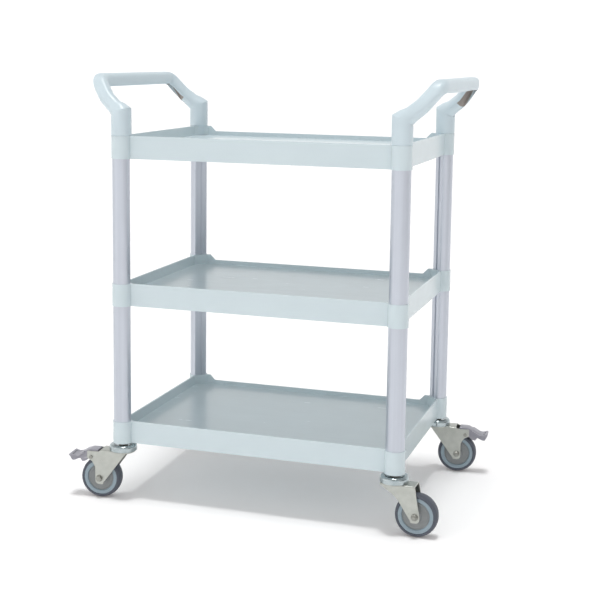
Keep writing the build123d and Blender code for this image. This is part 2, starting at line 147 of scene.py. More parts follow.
def lathe(
    bm: bmesh.types.BMesh, profile: list[tuple[float, float]], place: Matrix, steps: int = 64
) -> None:
    """Spin a closed half section about local Z and place it.

    Args:
        bm: mesh that receives the ring.
        profile: radius and height of each corner in millimetres; it closes on itself.
        place: where the local axes go.
        steps: segments in the full turn.
    """
    points = [(radius * MM, 0.0, height * MM) for radius, height in profile]
    solid = profile[0][0] == 0
    geom = chain(bm, points, closed=not solid)
    spun = set(geom)
    before = set(bm.verts)
    bmesh.ops.spin(
        bm, geom=geom, cent=(0, 0, 0), axis=(0, 0, 1), angle=FULL_TURN, steps=steps, use_merge=True
    )
    fresh = [v for v in bm.verts if v not in before or v in spun]
    bmesh.ops.remove_doubles(bm, verts=fresh, dist=MERGE_MM * MM)
    fresh = [v for v in fresh if v.is_valid]
    bmesh.ops.transform(bm, matrix=place, verts=fresh)


def rounded_face(bm: bmesh.types.BMesh, corners: list[tuple[float, float, float]]) -> bmesh.types.BMFace:
    """Flat face in local XZ with chosen corners rounded.

    Args:
        bm: mesh that receives the face.
        corners: local X, local Z and how far the rounding cuts back, all in millimetres.

    Returns:
        The new face.
    """
    verts = [bm.verts.new((x * MM, 0.0, z * MM)) for x, z, _ in corners]
    bm.faces.new(verts)
    anchor = verts[0]
    for vert, (_, _, cut) in zip(verts, corners):
        if cut:
            anchor = bmesh.ops.bevel(
                bm, geom=[vert], affect="VERTICES", offset=cut * MM, segments=6, profile=0.5, material=-1
            )["verts"][0]
    return anchor.link_faces[0]


def sweep_face(bm: bmesh.types.BMesh, face: bmesh.types.BMFace, along: Vector) -> list:
    """Extrude a face into a closed block.

    Args:
        bm: mesh that holds the face.
        face: face at the near end.
        along: how far the far end lies from it.

    Returns:
        The block's vertices.
    """
    near = list(face.verts)
    grown = bmesh.ops.extrude_face_region(bm, geom=[face], use_keep_orig=True)["geom"]
    far = [item for item in grown if isinstance(item, bmesh.types.BMVert)]
    bmesh.ops.translate(bm, verts=far, vec=along)
    return near + far


def block(bm: bmesh.types.BMesh, low: tuple, high: tuple) -> None:
    """Rectangular block between two corners.

    Args:
        bm: mesh that receives it.
        low: lowest corner in millimetres.
        high: highest corner in millimetres.
    """
    size = [(b - a) * MM for a, b in zip(low, high)]
    centre = Vector([(a + b) / 2 * MM for a, b in zip(low, high)])
    shape = Matrix.Translation(centre) @ Matrix.Diagonal((*size, 1.0))
    bmesh.ops.create_cube(bm, size=1.0, matrix=shape)


def hexagon(bm: bmesh.types.BMesh, width: float, low: float, high: float, place: Matrix) -> None:
    """Hexagon nut or bolt head with its outer corners cut back.

    Args:
        bm: mesh that receives it.
        width: size across the flats in millimetres.
        low: height of its seat in millimetres.
        high: height of its outer face in millimetres.
        place: where the local axes go.
    """
    radius = width / math.sqrt(3) * MM
    made = bmesh.ops.create_circle(bm, cap_ends=True, radius=radius, segments=6)["verts"]
    bmesh.ops.translate(bm, verts=made, vec=(0, 0, low * MM))
    face = made[0].link_faces[0]
    verts = sweep_face(bm, face, Vector((0, 0, (high - low - CROWN_MM) * MM)))
    top = max((f for v in verts for f in v.link_faces), key=lambda f: f.calc_center_median().z)
    grown = bmesh.ops.extrude_face_region(bm, geom=[top])["geom"]
    crown = [item for item in grown if isinstance(item, bmesh.types.BMVert)]
    bmesh.ops.translate(bm, verts=crown, vec=(0, 0, CROWN_MM * MM))
    centre = Matrix.Translation((0, 0, -high * MM))
    bmesh.ops.scale(bm, verts=crown, vec=(CROWN_SHARE, CROWN_SHARE, 1.0), space=centre)
    bmesh.ops.transform(bm, matrix=place, verts=list(set(verts + crown)))


# --------------------------------------------------------------------------- finishes


@dataclass(frozen=True)
class Finish:
    """What every finish shares: a colour, a base roughness and a fine surface.

    A subclass says what the real material is and adds its own detail.
    """

    name: str = "finish"
    colour: str = "#808080"
    roughness: float = 0.5
    metallic: float = 0.0
    ior: float = 1.5

    def start(self) -> tuple[bpy.types.Material, bpy.types.NodeTree, bpy.types.Node, bpy.types.Node]:
        """Make an empty material.

        Returns:
            The material, its node tree, its shader and its texture coordinates.
        """
        material = bpy.data.materials.new(self.name)
        material.use_nodes = True
        tree = material.node_tree
        tree.nodes.clear()
        shader = tree.nodes.new("ShaderNodeBsdfPrincipled")
        shader.inputs["Metallic"].default_value = self.metallic
        shader.inputs["IOR"].default_value = self.ior
        add_node(tree, "ShaderNodeOutputMaterial", {}, Surface=shader.outputs["BSDF"])
        place = tree.nodes.new("ShaderNodeTexCoord")
        return material, tree, shader, place

    def vary(
        self, tree: bpy.types.NodeTree, source: bpy.types.NodeSocket, low: object, high: object, colour: bool
    ) -> bpy.types.NodeSocket:
        """Map a pattern on to a range of colours or numbers.

        Args:
            tree: node tree of the material.
            source: pattern between zero and one.
            low: hex colour or number where the pattern is low.
            high: hex colour or number where the pattern is high.
            colour: whether the range holds colours.

        Returns:
            The mapped socket.
        """
        if colour:
            mix = add_node(tree, "ShaderNodeMix", {"data_type": "RGBA"}, Factor=source)
            mix.inputs[6].default_value = srgb(low)
            mix.inputs[7].default_value = srgb(high)
            return mix.outputs[2]
        ranged = add_node(tree, "ShaderNodeMapRange", {("To Min",): low, ("To Max",): high}, Value=source)
        return ranged.outputs["Result"]

    def pattern(
        self, tree: bpy.types.NodeTree, place: bpy.types.Node, size_mm: tuple, detail: float = 3.0
    ) -> bpy.types.NodeSocket:
        """Noise whose blotches have a stated size along each axis.

        Args:
            tree: node tree of the material.
            place: texture coordinates.
            size_mm: size of a blotch along X, Y and Z in millimetres.
            detail: octaves of finer noise.

        Returns:
            The noise socket, about zero to one.
        """
        scale = tuple(1.0 / (size * MM) for size in size_mm)
        mapping = add_node(tree, "ShaderNodeMapping", {("Scale",): scale}, Vector=place.outputs["Object"])
        noise = add_node(
            tree,
            "ShaderNodeTexNoise",
            {("Scale",): 1.0, ("Detail",): detail, ("Roughness",): 0.55},
            Vector=mapping.outputs["Vector"],
        )
        return noise.outputs["Fac"]

    def relief(
        self, tree: bpy.types.NodeTree, shader: bpy.types.Node, layers: list[tuple], edge_mm: float = 0.0
    ) -> None:
        """Stack bump layers on the shader's normal.

        Args:
            tree: node tree of the material.
            shader: shader that receives the normal.
            layers: height socket, depth in millimetres and strength of each layer.
            edge_mm: radius that softens hard edges, or zero for none.
        """
        normal = None
        if edge_mm:
            normal = add_node(tree, "ShaderNodeBevel", {"samples": 4, ("Radius",): edge_mm * MM}).outputs[0]
        for height, depth, strength in layers:
            bump = add_node(
                tree, "ShaderNodeBump", {("Distance",): depth * MM, ("Strength",): strength}, Height=height
            )
            if normal is not None:
                tree.links.new(normal, bump.inputs["Normal"])
            normal = bump.outputs["Normal"]
        if normal is not None:
            tree.links.new(normal, shader.inputs["Normal"])


@dataclass(frozen=True)
class MouldedPolypropylene(Finish):
    """Injection moulded polypropylene: satin and slightly cloudy, with a fine mould texture, scuffs
    that dull its shine in patches and faint scratches along the tray.

    The scratches are drawn several millimetres wide, because real ones are too fine to show.
    """

    name: str = "moulded_polypropylene"
    colour: str = "#CFDCE0"
    shade: str = "#C8D5DA"
    roughness: float = 0.19
    ior: float = 1.49
    scratch_mm: tuple = (320.0, 7.0, 7.0)
    scratching: float = 0.08

    def material(self) -> bpy.types.Material:
        """Build the finish.

        Returns:
            The material.
        """
        material, tree, shader, place = self.start()
        cloud = self.pattern(tree, place, (110.0, 70.0, 60.0), 3.0)
        grain = self.pattern(tree, place, (2.4, 2.4, 2.4), 1.0)
        peel = self.pattern(tree, place, (16.0, 16.0, 16.0), 1.0)
        scuff = self.pattern(tree, place, (80.0, 40.0, 30.0), 3.0)
        scratch = self.pattern(tree, place, self.scratch_mm, 1.0)
        geometry = tree.nodes.new("ShaderNodeNewGeometry")
        facing = add_node(tree, "ShaderNodeSeparateXYZ", {}, Vector=geometry.outputs["Normal"])
        upward = add_node(
            tree,
            "ShaderNodeMapRange",
            {("From Min",): 0.5, ("From Max",): 1.0, ("To Max",): self.scratching},
            Value=facing.outputs["Z"],
        )
        fine = add_node(
            tree,
            "ShaderNodeMath",
            {"operation": "MULTIPLY"},
            in_0=scratch,
            in_1=upward.outputs["Result"],
        )
        worn = self.vary(tree, scuff, self.roughness - 0.05, self.roughness + 0.07, False)
        rough = add_node(tree, "ShaderNodeMath", {"operation": "ADD"}, in_0=worn, in_1=fine.outputs["Value"])
        tree.links.new(self.vary(tree, cloud, self.shade, self.colour, True), shader.inputs["Base Color"])
        tree.links.new(rough.outputs["Value"], shader.inputs["Roughness"])
        shader.inputs["Subsurface Weight"].default_value = 0.05
        shader.inputs["Subsurface Radius"].default_value = (0.004, 0.0045, 0.005)
        self.relief(tree, shader, [(grain, 0.02, 0.12), (peel, 0.05, 0.1)])
        return material


@dataclass(frozen=True)
class AnodisedAluminium(Finish):
    """Anodised aluminium extrusion: dull silver, with die lines along the post that spread its
    highlight sideways.

    The die lines are drawn over a millimetre wide, because real ones are too fine to show.
    """

    name: str = "anodised_aluminium"
    colour: str = "#C9CED7"
    shade: str = "#B9BEC7"
    roughness: float = 0.34
    metallic: float = 0.9
    line_mm: tuple = (1.3, 1.3, 600.0)

    def material(self) -> bpy.types.Material:
        """Build the finish.

        Returns:
            The material.
        """
        material, tree, shader, place = self.start()
        lines = self.pattern(tree, place, self.line_mm, 3.0)
        bands = self.pattern(tree, place, (7.0, 7.0, 900.0), 2.0)
        haze = self.pattern(tree, place, (30.0, 30.0, 120.0), 4.0)
        tree.links.new(self.vary(tree, bands, self.shade, self.colour, True), shader.inputs["Base Color"])
        rough = self.vary(tree, haze, self.roughness - 0.06, self.roughness + 0.1, False)
        tree.links.new(rough, shader.inputs["Roughness"])
        self.relief(tree, shader, [(lines, 0.05, 0.3), (bands, 0.08, 0.2)], 0.4)
        return material


@dataclass(frozen=True)
class ZincPlate(Finish):
    """Bright zinc plate on pressed steel: a pale metal with a greenish cast, cloudy where the
    passivation pooled, and fine press marks."""

    name: str = "zinc_plated_steel"
    colour: str = "#C3C5BF"
    shade: str = "#A9ACA6"
    roughness: float = 0.3
    metallic: float = 0.9
    cloud_mm: float = 14.0

    def material(self) -> bpy.types.Material:
        """Build the finish.

        Returns:
            The material.
        """
        material, tree, shader, place = self.start()
        cloud = self.pattern(tree, place, (self.cloud_mm,) * 3, 4.0)
        marks = self.pattern(tree, place, (2.2, 2.2, 9.0), 3.0)
        tree.links.new(self.vary(tree, cloud, self.shade, self.colour, True), shader.inputs["Base Color"])
        rough = self.vary(tree, marks, self.roughness - 0.08, self.roughness + 0.14, False)
        tree.links.new(rough, shader.inputs["Roughness"])
        self.relief(tree, shader, [(marks, 0.05, 0.25)], 0.5)
        return material


@dataclass(frozen=True)
class MouldedPart(Finish):
    """Small moulded or painted part: one colour with fine texture, dust in the texture and worn,
    slightly paler edges."""

    name: str = "moulded_part"
    colour: str = "#8D9090"
    shade: str = "#7F8384"
    roughness: float = 0.45
    grain_mm: float = 0.9
    grain_depth: float = 0.06
    worn: str = "#A5A8A8"

    def material(self) -> bpy.types.Material:
        """Build the finish.

        Returns:
            The material.
        """
        material, tree, shader, place = self.start()
        dust = self.pattern(tree, place, (16.0, 16.0, 16.0), 5.0)
        grain = self.pattern(tree, place, (self.grain_mm,) * 3, 2.0)
        base = self.vary(tree, dust, self.shade, self.colour, True)
        geometry = tree.nodes.new("ShaderNodeNewGeometry")
        edge = add_node(
            tree,
            "ShaderNodeMapRange",
            {("From Min",): 0.53, ("From Max",): 0.62, ("To Max",): 0.6},
            Value=geometry.outputs["Pointiness"],
        )
        mix = add_node(tree, "ShaderNodeMix", {"data_type": "RGBA"}, Factor=edge.outputs["Result"])
        tree.links.new(base, mix.inputs[6])
        mix.inputs[7].default_value = srgb(self.worn)
        tree.links.new(mix.outputs[2], shader.inputs["Base Color"])
        rough = self.vary(tree, dust, self.roughness - 0.08, self.roughness + 0.12, False)
        tree.links.new(rough, shader.inputs["Roughness"])
        self.relief(tree, shader, [(grain, self.grain_depth, 0.3)], 0.3)
        return material


class Stock(Enum):
    """The finishes that the trolley uses."""

    # Satin pale blue grey plastic of the trays.
    TRAY = MouldedPolypropylene()
    # The same plastic with a rougher mould face, so the handles have a duller sheen.
    HANDLE = MouldedPolypropylene(
        name="handle_polypropylene", colour="#CDDBE1", shade="#C5D3DA", roughness=0.36, scratching=0.0
    )
    # Painted shade: the faces deep in the handle's open side are a dark warm matt grey, standing in for the
    # shade that falls there.
    HOLLOW_PAINTED_SHADE = MouldedPolypropylene(
        name="handle_hollow_painted_shade", colour="#A39B95", shade="#8D8681", roughness=0.6, scratching=0.0
    )
    # Dull silver posts.
    POST = AnodisedAluminium()
    # Zinc with a faint greenish cast on the pressed forks.
    FORK = ZincPlate()
    # Brighter, smoother zinc on the cups, with sharp bands of light. Its cloud runs wide from dark to pale:
    # partly the zinc's own mottling, partly painted reflections.
    CUP = ZincPlate(name="bright_zinc_cup_painted_reflections", colour="#C6CED0", shade="#93A1A5", roughness=0.13)
    # Greyer, duller zinc on bolts, nuts and rods.
    FASTENER = ZincPlate(name="zinc_plated_fastener", colour="#A9A9A2", shade="#8C8D88", roughness=0.35)
    # Polished steel of the bearing balls.
    BALL = ZincPlate(name="bearing_steel", colour="#C9C9CB", shade="#B6B6B8", roughness=0.1)
    # Dark blue grey rubber, dull, and paler where its edges wear.
    TYRE = MouldedPart(
        name="thermoplastic_rubber", colour="#555A65", shade="#474C56", worn="#666B75", roughness=0.55
    )
    # Pale blue grey plastic ring that stands out against the tyre.
    RIM = MouldedPart(name="rim_polypropylene", colour="#93A4AE", shade="#8596A0", worn="#A8B5BD")
    # Neutral grey plastic of the wheel's recessed disc.
    DISC = MouldedPart(name="hub_polypropylene", colour="#8E9192", shade="#7C8081", worn="#A0A3A3")
    # Grey paint with a slight violet cast and a soft shine.
    PEDAL = MouldedPart(
        name="painted_pedal_steel", colour="#9C9BA4", shade="#8B8A93", worn="#B6B5BB", roughness=0.36
    )
    # Black nylon, almost hidden in the collar's socket.
    INSERT = MouldedPart(name="black_nylon", colour="#1E1F21", shade="#17181A", worn="#2C2D2F")
    # Off-white acetal, slightly waxy.
    BUSH = MouldedPart(name="acetal_bush", colour="#D9D8CF", shade="#C9C8BF", worn="#E2E1D9")


@dataclass
class Paintbox:
    """Makes each finish's material once and hands it out."""

    made: dict = field(default_factory=dict)

    def get(self, stock: Stock) -> bpy.types.Material:
        """Material of a finish.

        Args:
            stock: which finish.

        Returns:
            The shared material.
        """
        if stock not in self.made:
            self.made[stock] = stock.value.material()
        return self.made[stock]


PAINT = Paintbox()


# --------------------------------------------------------------------------- turning meshes into pieces


@dataclass
class Piece:
    """How one finished mesh joins the trolley."""

    name: str
    body: str
    slot: str
    stocks: tuple[Stock, ...]
    nodes: tuple[str, ...]
    bevel_mm: float = 0.5
    bevel_segments: int = 2

    def add(self, bm: bmesh.types.BMesh) -> None:
        """Turn a bmesh into a shaded object that rides on its body.

        Args:
            bm: the finished mesh, in the frame's axes; it is freed.
        """
        bmesh.ops.recalc_face_normals(bm, faces=bm.faces[:])
        for face in bm.faces:
            face.smooth = True
        for edge in bm.edges:
            if len(edge.link_faces) == 2 and edge.calc_face_angle(0.0) > SHARP_ANGLE:
                edge.smooth = False
        mesh = bpy.data.meshes.new(self.name)
        bm.to_mesh(mesh)
        bm.free()
        thing = bpy.data.objects.new(self.name, mesh)
        bpy.context.scene.collection.objects.link(thing)
        for stock in self.stocks:
            mesh.materials.append(PAINT.get(stock))
        if self.bevel_mm:
            bevel = thing.modifiers.new("edges", "BEVEL")
            bevel.width = self.bevel_mm * MM
            bevel.segments = self.bevel_segments
            bevel.limit_method = "ANGLE"
            bevel.angle_limit = SHARP_ANGLE
            bevel.miter_outer = "MITER_ARC"
            bevel.harden_normals = True
        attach(thing, self.body)
        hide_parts(*self.nodes)
        LOG.info("%s: %d faces", self.name, len(mesh.polygons))


# --------------------------------------------------------------------------- trays


@dataclass
class Tray:
    """One moulded tray: railed well, floor with a coved edge, ribs below and a collar at each corner."""

    node: str
    post_x: float
    post_y: float
    collar_r: float = 24.0
    collar_flat: float = 20.0
    half_length: float = 344.0
    half_width: float = 243.0
    wall: float = 3.5
    floor_depth: float = 25.0
    floor_thickness: float = 4.0
    floor_overlap: float = 0.4
    cove: float = 4.0
    cove_steps: int = 5
    rim_drop: float = 14.0
    tab_end: float = 305.0
    rib: float = 2.5
    rib_depth: float = 14.0
    rib_overlap: float = 0.5
    rib_gap_x: float = 110.0
    rib_gap_y: float = 120.0
    collar_steps: int = 30
    bevel_mm: float = 0.7

    def __post_init__(self) -> None:
        """Read the tray's lowest and highest levels from the frame."""
        low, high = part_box(self.node)
        self.bottom = low.z / MM
        self.rim = high.z / MM

    def outer_loop(self, bm: bmesh.types.BMesh) -> list:
        """Outline of the walls and collars, drawn at rim height.

        Args:
            bm: mesh that receives the edges.

        Returns:
            The outline's edges.
        """
        start = Vector((self.half_length - self.post_x, 0.0))
        start.y = -math.sqrt(self.collar_r**2 - start.x**2)
        end = Vector((0.0, self.half_width - self.post_y))
        end.x = -math.sqrt(self.collar_r**2 - end.y**2)
        turn = math.atan2(end.y, end.x) - math.atan2(start.y, start.x)
        arcs = []
        for sign_x, sign_y in ((1, 1), (-1, 1), (-1, -1), (1, -1)):
            same = sign_x * sign_y
            centre = Vector((sign_x * self.post_x, sign_y * self.post_y, self.rim)) * MM
            first = centre + Vector((sign_x * start.x, sign_y * start.y, 0)) * MM
            before = set(bm.verts)
            vert = bm.verts.new(first)
            bmesh.ops.spin(
                bm, geom=[vert], cent=centre, axis=(0, 0, 1), angle=same * turn, steps=self.collar_steps
            )
            arc = [v for v in bm.verts if v not in before]
            last = centre + Vector((sign_x * end.x, sign_y * end.y, 0)) * MM
            tail = min(arc, key=lambda v: (v.co - last).length)
            arcs.append((vert, tail) if same > 0 else (tail, vert))
        for (_, tail), (head, _) in zip(arcs, arcs[1:] + arcs[:1]):
            bm.edges.new((tail, head))
        return bm.edges[:]

    def well_face(self, bm: bmesh.types.BMesh, level: float, spread: float = 0.0) -> bmesh.types.BMFace:
        """Inside outline of the walls as a face, with a diagonal across each corner.

        Args:
            bm: mesh that receives the face.
            level: its height in millimetres.
            spread: how far it reaches into the walls, in millimetres.

        Returns:
            The face.
        """
        length = self.half_length - self.wall + spread
        width = self.half_width - self.wall + spread
        cut = length + width - self.post_x - self.post_y + (self.collar_flat - spread) * math.sqrt(2)
        corners = [(length, width), (-length, width), (-length, -width), (length, -width)]
        verts = [bm.verts.new((x * MM, y * MM, level * MM)) for x, y in corners]
        bm.faces.new(verts)
        made = bmesh.ops.bevel(
            bm, geom=verts, affect="VERTICES", offset=cut * MM, segments=1, profile=0.5, material=-1
        )
        ring = {v for v in made["verts"] if v.is_valid}
        return next(f for v in ring for f in v.link_faces)

    def walls(self, bm: bmesh.types.BMesh) -> None:
        """Walls and collars as one closed ring, with the +Y rim lowered between its tabs.

        Args:
            bm: mesh that receives them.
        """
        edges = self.outer_loop(bm)
        face = self.well_face(bm, self.rim)
        edges += list(face.edges)
        bmesh.ops.delete(bm, geom=[face], context="FACES_ONLY")
        bmesh.ops.triangle_fill(bm, use_beauty=True, edges=edges)
        grown = bmesh.ops.extrude_face_region(bm, geom=bm.faces[:], use_keep_orig=True)["geom"]
        lower = [item for item in grown if isinstance(item, bmesh.types.BMVert)]
        bmesh.ops.translate(bm, verts=lower, vec=(0, 0, (self.bottom - self.rim) * MM))
        low_end = self.tab_end - self.rim_drop
        for cut in (-self.tab_end, -low_end, low_end, self.tab_end):
            geom = bm.verts[:] + bm.edges[:] + bm.faces[:]
            bmesh.ops.bisect_plane(bm, geom=geom, plane_co=(cut * MM, 0, 0), plane_no=(1, 0, 0), dist=1e-6)
        inner = (self.half_width - self.wall - 1.0) * MM
        dropped = [
            v
            for v in bm.verts
            if v.co.y > inner and abs(v.co.x) < (low_end + 0.5) * MM and v.co.z > (self.rim - 1) * MM
        ]
        bmesh.ops.translate(bm, verts=dropped, vec=(0, 0, -self.rim_drop * MM))

    def floor(self, bm: bmesh.types.BMesh) -> None:
        """Floor plate whose edge curves up into the walls, and its flat underside.

        Args:
            bm: mesh that receives it.
        """
        level = self.rim - self.floor_depth
        face = self.well_face(bm, level + self.cove, self.floor_overlap)
        border = list(face.edges)
        last = (0.0, self.cove)
        for step in range(1, self.cove_steps + 1):
            angle = step / self.cove_steps * math.pi / 2
            inward = self.cove * (1 - math.cos(angle))
            height = self.cove * (1 - math.sin(angle))
            bmesh.ops.inset_region(
                bm, faces=[face], thickness=(inward - last[0]) * MM, depth=0.0, use_even_offset=True
            )
            bmesh.ops.translate(bm, verts=list(face.verts), vec=(0, 0, (height - last[1]) * MM))
            last = (inward, height)
        skirt = bmesh.ops.extrude_edge_only(bm, edges=border)["geom"]
        low_edges = [item for item in skirt if isinstance(item, bmesh.types.BMEdge)]
        low_verts = [item for item in skirt if isinstance(item, bmesh.types.BMVert)]
        drop = self.cove + self.floor_thickness
        bmesh.ops.translate(bm, verts=low_verts, vec=(0, 0, -drop * MM))
        open_edges = [e for e in low_edges if e.is_boundary]
        bmesh.ops.holes_fill(bm, edges=open_edges, sides=0)

    def ribs(self, bm: bmesh.types.BMesh) -> None:
        """Stiffening ribs that cross under the floor.

        Args:
            bm: mesh that receives them.
        """
        top = self.rim - self.floor_depth - self.floor_thickness + self.rib_overlap
        low = top - self.rib_depth - self.rib_overlap
        reach_x = self.half_length - self.wall + 1
        reach_y = self.half_width - self.wall + 1
        for step in range(-2, 3):
            x = step * self.rib_gap_x
            block(bm, (x - self.rib / 2, -reach_y, low), (x + self.rib / 2, reach_y, top))
        for step in range(-1, 2):
            y = step * self.rib_gap_y
            block(bm, (-reach_x, y - self.rib / 2, low), (reach_x, y + self.rib / 2, top))

    def build(self) -> None:
        """Build the tray and put it in place of its CAD node."""
        bm = bmesh.new()
        self.walls(bm)
        self.floor(bm)
        self.ribs(bm)
        name, stocks = f"{self.node}_moulding", (Stock.TRAY,)
        Piece(name, "trolley", "moulded_plastic", stocks, (self.node,), self.bevel_mm).add(bm)


# --------------------------------------------------------------------------- posts


@dataclass
class Post:
    """Extruded post: round, with a grooved flat that faces the trolley's centre. Its bore is hidden and
    left out."""

    node: str
    post_x: float
    post_y: float
    radius: float = 22.0
    flat: float = 15.0
    groove_width: float = 6.5
    groove_depth: float = 2.5
    steps: int = 56
    bevel_mm: float = 0.6

    def build(self) -> None:
        """Build the post between its own lowest and highest levels."""
        low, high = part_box(self.node)
        across, along = math.copysign(self.post_x * MM, low.x), math.copysign(self.post_y * MM, low.y)
        axis = Vector((across, along, low.z))
        outward = Vector((math.copysign(1, axis.x), math.copysign(1, axis.y), 0))
        half_chord = math.sqrt(self.radius**2 - self.flat**2)
        turn = FULL_TURN - 2 * math.atan2(half_chord, self.flat)
        bm = bmesh.new()
        first = bm.verts.new((-self.flat * MM, -half_chord * MM, 0))
        bmesh.ops.spin(bm, geom=[first], cent=(0, 0, 0), axis=(0, 0, 1), angle=turn, steps=self.steps)
        last = min(bm.verts, key=lambda v: (v.co - Vector((-self.flat, half_chord, 0)) * MM).length)
        half_groove = self.groove_width / 2
        groove = chain(
            bm,
            [
                (-self.flat * MM, half_groove * MM, 0),
                ((self.groove_depth - self.flat) * MM, half_groove * MM, 0),
                ((self.groove_depth - self.flat) * MM, -half_groove * MM, 0),
                (-self.flat * MM, -half_groove * MM, 0),
            ],
            closed=False,
        )
        bm.edges.new((last, groove[0]))
        bm.edges.new((groove[3], first))
        face = bmesh.ops.contextual_create(bm, geom=bm.edges[:])["faces"][0]
        verts = sweep_face(bm, face, Vector((0, 0, high.z - low.z)))
        bmesh.ops.transform(bm, matrix=axes_matrix(axis, outward, Vector((0, 0, 1))), verts=verts)
        name, stocks = f"{self.node}_extrusion", (Stock.POST,)
        Piece(name, "trolley", "post_aluminium", stocks, (self.node,), self.bevel_mm).add(bm)


# --------------------------------------------------------------------------- handles


@dataclass
class Handle:
    """Push handle: two stems, arms that leave them at a mitre and a grip, hollow on its inner side."""

    node: str
    side: int
    post_x: float
    post_y: float
    base_z: float = 888.0
    bend_z: float = 943.0
    grip_offset: float = 75.0
    grip_inset: float = 35.0
    grip_z: float = 1017.0
    knee: tuple[float, float, float] = (42.0, 13.0, 976.0)
    knee_radius: float = 70.0
    corner_radius: float = 30.0
    stem: tuple[float, float, float, float, float] = (24.0, 24.0, 24.0, 24.0, 2.0)
    arm: tuple[float, float, float, float, float] = (19.5, 16.5, 19.5, 21.0, 2.4)
    grip: tuple[float, float, float, float, float] = (16.8, 16.8, 16.3, 19.8, 3.2)
    arm_run: float = 22.0
    arm_shares: tuple[float, float, float] = (0.35, 0.7, 1.0)
    grip_share: float = 0.41
    spigot: float = 21.8
    spigot_length: float = 24.0
    seam: float = 1.2
    hollow_half: float = 13.5
    hollow_depth: float = 26.0
    hollow_power: int = 8
    hollow_start: float = 0.24
    hollow_fade: float = 0.12
    hollow_turn: float = 30.0
    hollow_untwist: float = 0.12
    segments: int = 72
    arc_steps: int = 10

    def half_route(self) -> list[tuple[Vector, Vector, float]]:
        """Centre line from the front stem's mitre to the middle of the grip.

        Returns:
            Place, direction and distance travelled at each section, in millimetres.
        """
        inset_y = self.post_y - self.grip_inset
        grip_x = self.side * (self.post_x + self.grip_offset)
        out, inwards, level = self.knee
        points = [
            Vector((self.side * self.post_x, -self.post_y, self.bend_z)),
            Vector((self.side * (self.post_x + out), inwards - self.post_y, level)),
            Vector((grip_x, -inset_y, self.grip_z)),
            Vector((grip_x, 0.0, self.grip_z)),
        ]
        first = (points[1] - points[0]).normalized()
        samples = [(points[0] + first * self.arm_run * share, first) for share in self.arm_shares]
        for index, radius in ((1, self.knee_radius), (2, self.corner_radius)):
            inward = (points[index] - points[index - 1]).normalized()
            onward = (points[index + 1] - points[index]).normalized()
            turn = inward.angle(onward)
            start = points[index] - inward * radius * math.tan(turn / 2)
            normal = (onward - inward * onward.dot(inward)).normalized()
            centre = start + normal * radius
            for step in range(self.arc_steps + 1):
                angle = turn * step / self.arc_steps
                place = centre - normal * radius * math.cos(angle) + inward * radius * math.sin(angle)
                samples.append((place, inward * math.cos(angle) + normal * math.sin(angle)))
        samples.append((points[3], Vector((0, 1, 0))))
        route = []
        travelled = self.arm_run * self.arm_shares[0]
        for index, (place, heading) in enumerate(samples):
            if index:
                travelled += (place - samples[index - 1][0]).length
            route.append((place, heading, travelled))
        return route

    def section(self, travelled: float, length: float, angle: float) -> tuple[float, float, bool]:
        """Point on the handle's outline.

        Args:
            travelled: distance from the mitre in millimetres.
            length: length of the half route.
            angle: direction round the section, with the hollow at minus 90 degrees.

        Returns:
            Offsets across and up the section in millimetres, and whether the point is in the hollow.
        """
        if travelled <= self.arm_run:
            first, last, part = self.stem, self.arm, travelled / self.arm_run
        else:
            first, last = self.arm, self.grip
            part = (travelled - self.arm_run) / (length * self.grip_share - self.arm_run)
            part = max(0.0, min(1.0, part))
        outer, inner, over, under, power = (a + (b - a) * part for a, b in zip(first, last))
        cos, sin = math.cos(angle), math.sin(angle)
        x = (outer if cos > 0 else inner) * math.copysign(abs(cos) ** (2 / power), cos)
        y = (over if sin > 0 else under) * math.copysign(abs(sin) ** (2 / power), sin)
        share = travelled / length
        fade = max(0.0, min(1.0, (share - self.hollow_start) / self.hollow_fade + 1))
        twist = max(0.0, min(1.0, (self.grip_share - share) / self.hollow_untwist))
        lean = math.radians(self.hollow_turn) * twist
        toward = Vector((math.sin(lean), -math.cos(lean)))
        spot = Vector((x, y))
        aside = abs(toward.cross(spot)) / self.hollow_half
        inside = spot.dot(toward) > 0 and aside < 1 and fade > 0
        if inside:
            spot -= toward * self.hollow_depth * fade * (1 - aside**self.hollow_power)
        return spot.x, spot.y, inside

    def ring_places(
        self, place: Vector, heading: Vector, travelled: float, length: float
    ) -> list[tuple[Vector, bool]]:
        """Places of one section's vertices.

        Args:
            place: centre of the section in millimetres.
            heading: direction of the route there.
            travelled: distance from the mitre.
            length: length of the half route.

        Returns:
            The places in metres, and whether each is in the hollow.
        """
        outward = Vector((self.side, 0, 0))
        across = (outward - heading * outward.dot(heading)).normalized()
        up = heading.cross(across) * -self.side
        spots = []
        for step in range(self.segments):
            x, y, inside = self.section(travelled, length, FULL_TURN * step / self.segments)
            spots.append(((place + across * x + up * y) * MM, inside))
        return spots

    def stem_places(self, level: float, radius: float, mitre: Vector | None) -> list[tuple[Vector, bool]]:
        """Places of one round section of a stem.

        Args:
            level: its height in millimetres.
            radius: its radius in millimetres.
            mitre: normal of the mitre plane, or None for a level section.

        Returns:
            The places in metres, none of them in the hollow.
        """
        centre = Vector((self.side * self.post_x, -self.post_y, level))
        spots = []
        for step in range(self.segments):
            angle = FULL_TURN * step / self.segments
            offset = Vector((self.side * math.cos(angle), -math.sin(angle), 0)) * radius
            if mitre is not None:
                offset.z = -offset.dot(mitre) / mitre.z
            spots.append(((centre + offset) * MM, False))
        return spots

